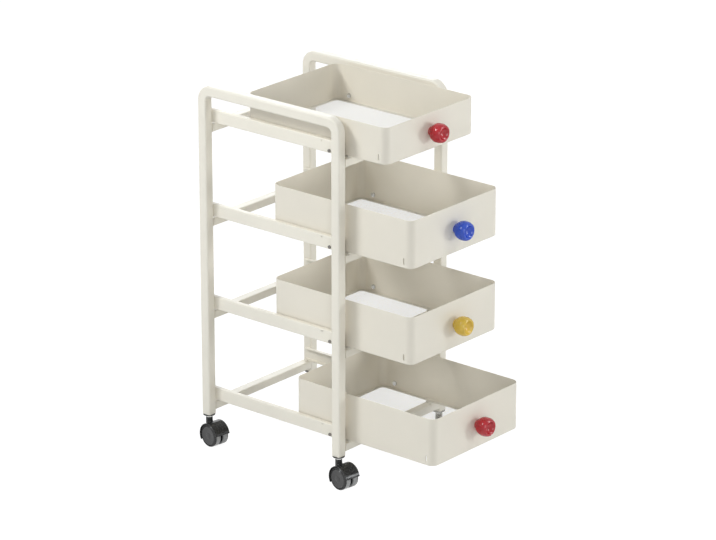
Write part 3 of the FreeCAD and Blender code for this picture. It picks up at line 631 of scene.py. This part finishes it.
def hood_grids(sizes, origin, axes, top):
    """Roof, web and neck of a caster's hood, as grids in world places.

    With f the angle about the axle, the roof carries a rounded bar (u, r) to (u, r cos f, r sin f) from the front
    edge over the top to the back edge. The web is a plate whose outline is the roof's radius over that span, and
    elsewhere the chord between the edges or the hub, whichever lies further out. The neck is turned about the
    stem: its foot follows the roof and eases into it.
    """
    front, back = sizes.hood_front, sizes.hood_back
    inner, outer, half = sizes.hood_inner, sizes.hood_outer, sizes.hood_half
    section = rounded_loop(2 * half, outer - inner, sizes.hood_round, 4) + [0.0, (inner + outer) / 2]
    f = np.linspace(front, back, ROOF_POINTS)[:, None]
    u, r = section[None, :, 0], section[None, :, 1]
    roof = np.stack([u + 0 * f, r * np.cos(f), r * np.sin(f)], axis=-1)
    f = np.concatenate([np.linspace(front, back, WEB_POINTS), np.linspace(back, front - TAU, WEB_OPEN_POINTS)])
    middle, open_half = (inner + outer) / 2, (TAU - front + back) / 2
    off_middle = np.clip(f[WEB_POINTS:] - back + open_half, -CHORD_LIMIT, CHORD_LIMIT)
    chord = middle * np.cos(open_half) / np.cos(off_middle)
    r = np.concatenate([np.full(WEB_POINTS, middle), np.clip(chord, sizes.hood_hub, middle)])
    ring = np.stack([0 * f, r * np.cos(f), r * np.sin(f)], axis=-1)
    web = np.array([0.0, 1.0, 1.0, 0.0])[:, None, None] * ring + (
        np.array([-1.0, -1.0, 1.0, 1.0])[:, None, None] * [sizes.hood_web, 0.0, 0.0])
    flare = sizes.neck_flare
    t = np.linspace(0.0, np.pi / 2, NECK_FLARE_POINTS)
    radius = np.concatenate([[sizes.hood_neck + flare], sizes.hood_neck + flare * (1 - np.sin(t))])[:, None]
    rise = np.concatenate([[-NECK_DIP], flare * (1 - np.cos(t))])[:, None]
    a = (np.arange(NECK_POINTS) * (TAU / NECK_POINTS))[None]
    y = sizes.caster_trail + radius * np.sin(a)
    on_roof = np.sqrt(outer ** 2 - np.clip(y, None, outer - ROOF_MARGIN) ** 2)
    foot = np.stack([radius * np.cos(a), y, on_roof + rise], axis=-1)
    head = np.concatenate([np.array(NECK_EDGE) + (sizes.hood_neck, top), [[0.0, top]]])[:, None, :]
    crown = np.stack([head[..., 0] * np.cos(a), sizes.caster_trail + head[..., 0] * np.sin(a),
                      head[..., 1] + 0 * a], axis=-1)
    neck = np.concatenate([foot, crown])
    return [(origin + capped(roof) @ axes, False, True), (origin + web @ axes, False, True),
            (origin + capped(neck) @ axes, False, True)]


class CART_OT_casters(bpy.types.Operator):
    """Build the casters' hoods, neck rings, wheel discs, treads and rims about each swivelled axle"""
    bl_idname = "cart.casters"
    bl_label = "Casters"

    def execute(self, context):
        sizes, finishes = context.scene.cart_sizes, context.scene.cart_finishes
        black, bright = hood_plastic(finishes), bright_zinc()
        grey = finish_of("wheel_plastic", moulded, finishes.wheel_grey, 0.15, 0.22, 1800.0, 0.00002, 0.6)
        rubber = finish_of("tread_rubber", moulded, finishes.tread_grey, 0.3, 0.45, 2200.0, 0.00003)
        turn = sizes.caster_turn
        axes = np.array([[np.cos(turn), -np.sin(turn), 0.0], [np.sin(turn), np.cos(turn), 0.0], [0.0, 0.0, 1.0]])
        start, stop = sizes.wheel_start, sizes.wheel_start + sizes.wheel_width
        radius, soft = sizes.wheel_radius, sizes.tread_round
        seat = radius - sizes.rim_width
        edge = stop - soft - EASE
        tread = np.concatenate([[[seat, start]], np.array(TREAD_EDGE) + (radius, start),
                                [[radius, edge], [seat, edge], [seat, start]]])
        shoulder = np.arccos((seat - radius + soft) / soft)
        # Black rim on the wheel's rounded shoulder: a real part whose black is partly painted shade for the gap under
        # the hood's edge
        rim = np.concatenate([[[seat, edge], [radius, edge]],
                              arc((radius - soft, stop - soft), soft, 0.0, shoulder, RIM_POINTS), [[seat, edge]]])
        groove = np.array(DISC_GROOVE) + (seat, stop)
        bevel = soft_corner(*(np.array(DISC_BEVEL) + (seat, stop)))
        cap = np.array(HUB_CAP) + (0.0, stop)
        disc = np.concatenate([[[0.0, start], [seat, start]], groove, bevel, cap])
        inside, outside = sizes.hood_neck - RING_SINK, sizes.hood_neck + RING_PROUD
        for caster in CASTERS:
            origin = np.array(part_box(f"{caster}_caster_axle")).mean(axis=0)
            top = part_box(f"{caster}_caster_hood")[1][2] - origin[2]
            low, high = top - sizes.ring_low, top - sizes.ring_high
            ring = [[inside, low], [outside, low], [outside, high], [inside, high], [inside, low]]
            swivel = origin + sizes.caster_trail * axes[1]
            add_piece(f"{caster}_neck_ring", [lathe(ring, swivel, (0, 0, 1), NECK_POINTS)], bright,
                      f"{caster}_caster")
            add_piece(f"{caster}_hood", hood_grids(sizes, origin, axes, top), black, f"{caster}_caster",
                      [f"{caster}_caster_hood"])
            for side, sign in SIDES:
                name, body = f"{caster}_{side}_wheel", f"{caster}_caster_{side}_wheel_body"
                add_piece(f"{name}_disc", [lathe(disc, origin, axes[0] * sign)], grey, body,
                          [f"{caster}_caster_{side}_wheel"])
                add_piece(f"{name}_tread", [lathe(tread, origin, axes[0] * sign)], rubber, body)
                # The rim's black material is partly painted shade under the hood's edge
                add_piece(f"{name}_rim", [lathe(rim, origin, axes[0] * sign)], black, body)
        return {"FINISHED"}


class CART_OT_fittings(bpy.types.Operator):
    """Finish the screws, studs, rollers, glides, sockets, stems and axles"""
    bl_idname = "cart.fittings"
    bl_label = "Fittings"

    def execute(self, context):
        finishes = context.scene.cart_finishes
        bright, hood = bright_zinc(), hood_plastic(finishes)
        dark = finish_of("dull_steel", plated, linear(132, 129, 124), 0.35, 0.55)
        nylon = finish_of("natural_nylon", moulded, finishes.nylon, 0.35, 0.5, 1500.0, 0.00003)
        for node in ("glide_pads", "stop_bushes"):
            paint_node(node, nylon)
        for level in LEVELS:
            paint_node(f"drawer_{level}_rollers", nylon)
            paint_node(f"drawer_{level}_screws", bright)
        paint_node("caster_stems", bright)
        paint_node("stop_screws", dark)
        paint_node("leg_sockets", hood)
        for caster in CASTERS:
            paint_node(f"{caster}_caster_axle", dark)
        return {"FINISHED"}


def seen_rays(tree):
    """A factor that is 1 for rays that show a surface: from the camera, a mirror or glass."""
    path = tree.nodes.new("ShaderNodeLightPath")
    seen = path.outputs["Is Camera Ray"]
    for name in ("Is Glossy Ray", "Is Transmission Ray"):
        node = tree.nodes.new("ShaderNodeMath")
        node.operation = "MAXIMUM"
        tree.links.new(seen, node.inputs[0])
        tree.links.new(path.outputs[name], node.inputs[1])
        seen = node.outputs[0]
    return seen


def floor_material(glow):
    """Pale floor that shows white to the camera and to mirrors but keeps the shadow of what stands on it."""
    material, tree, shader = new_material("pale_floor")
    shader.inputs["Roughness"].default_value = 0.9
    shader.inputs["Specular IOR Level"].default_value = 0.0
    seen = seen_rays(tree)
    tree.links.new(blend_colours(tree, seen, FLOOR_TONE, FLOOR_SEEN_TONE), shader.inputs["Base Color"])
    shader.inputs["Emission Color"].default_value = (*WHITE, 1.0)
    tree.links.new(spread(tree, seen, 0.0, glow, 0.0, 1.0), shader.inputs["Emission Strength"])
    return material


def white_world(sky):
    """Pale surroundings that light the cart by the strength sky and show white."""
    world = bpy.data.worlds.new("white_studio")
    world.use_nodes = True
    tree = world.node_tree
    shader = tree.nodes["Background"]
    seen = seen_rays(tree)
    tree.links.new(blend_colours(tree, seen, COOL_WHITE, WHITE), shader.inputs["Color"])
    tree.links.new(spread(tree, seen, sky, 1.0, 0.0, 1.0), shader.inputs["Strength"])
    return world


def soft_lamp(name, watts, size, place, target):
    """A square area lamp that faces a point."""
    lamp = bpy.data.lights.new(name, "AREA")
    lamp.energy = watts
    lamp.color = COOL_WHITE
    lamp.size = size
    item = bpy.data.objects.new(name, lamp)
    item.location = place
    item.rotation_euler = (Vector(target) - Vector(place)).to_track_quat("-Z", "Y").to_euler()
    item.visible_camera = False
    bpy.context.scene.collection.objects.link(item)


class CART_OT_stage(bpy.types.Operator):
    """Lay the pale floor and set the soft lamps, the white surroundings and the camera"""
    bl_idname = "cart.stage"
    bl_label = "Stage"

    def execute(self, context):
        scene, stage = context.scene, context.scene.cart_stage
        scene.view_settings.view_transform = "Standard"
        run = np.linspace(-FLOOR_HALF, FLOOR_HALF, FLOOR_POINTS)
        u, v = np.meshgrid(run, run, indexing="ij")
        points = np.stack([u, v, np.full_like(u, CAD_BOX[0][2])], axis=-1).reshape(-1, 3)
        mesh = bpy.data.meshes.new("studio_floor")
        mesh.from_pydata(points, [], grid_faces(FLOOR_POINTS, FLOOR_POINTS, False, False))
        mesh.materials.append(floor_material(stage.floor_glow))
        floor = bpy.data.objects.new("studio_floor", mesh)
        scene.collection.objects.link(floor)
        scene.world = white_world(stage.sky)
        for name, size, place in LAMPS:
            soft_lamp(name, getattr(stage, name), size, place, LAMP_TARGET)
        camera = bpy.data.cameras.new("camera")
        camera.sensor_width = SENSOR_WIDTH
        camera.sensor_fit = "HORIZONTAL"
        camera.lens = stage.lens
        camera.clip_end = CLIP_END
        item = bpy.data.objects.new("camera", camera)
        a, e = stage.azimuth, stage.elevation
        back = Vector((np.sin(a) * np.cos(e), -np.cos(a) * np.cos(e), np.sin(e)))
        item.location = Vector(stage.aim) + back * stage.distance
        item.rotation_euler = (-back).to_track_quat("-Z", "Y").to_euler()
        scene.collection.objects.link(item)
        scene.camera = item
        return {"FINISHED"}


OPERATORS = (CART_OT_frame_tubes, CART_OT_drawers, CART_OT_mesh_floors, CART_OT_knobs, CART_OT_casters,
             CART_OT_fittings, CART_OT_stage)
GROUPS = (("cart_sizes", CartSizes), ("cart_finishes", CartFinishes), ("cart_stage", CartStage))


class CART_PT_panel(bpy.types.Panel):
    """Lists the cart's operators and settings"""
    bl_idname = "CART_PT_panel"
    bl_label = "Rolling kitchen cart"
    bl_space_type = "VIEW_3D"
    bl_region_type = "UI"
    bl_category = "Cart"

    def draw(self, context):
        for operator in OPERATORS:
            self.layout.operator(operator.bl_idname)
        for name, group in GROUPS:
            box = self.layout.box()
            box.label(text=group.__doc__)
            for prop in group.__annotations__:
                box.prop(getattr(context.scene, name), prop)


def register():
    """Register the classes and hang the settings on the scene."""
    for name, group in GROUPS:
        bpy.utils.register_class(group)
        setattr(bpy.types.Scene, name, bpy.props.PointerProperty(type=group))
    for item in (*OPERATORS, CART_PT_panel):
        bpy.utils.register_class(item)


def unregister():
    """Undo register."""
    for item in reversed((*OPERATORS, CART_PT_panel)):
        bpy.utils.unregister_class(item)
    for name, group in reversed(GROUPS):
        delattr(bpy.types.Scene, name)
        bpy.utils.unregister_class(group)


def main():
    register()
    for operator in OPERATORS:
        group, name = operator.bl_idname.split(".")
        getattr(getattr(bpy.ops, group), name)()


if __name__ == "__main__":
    main()
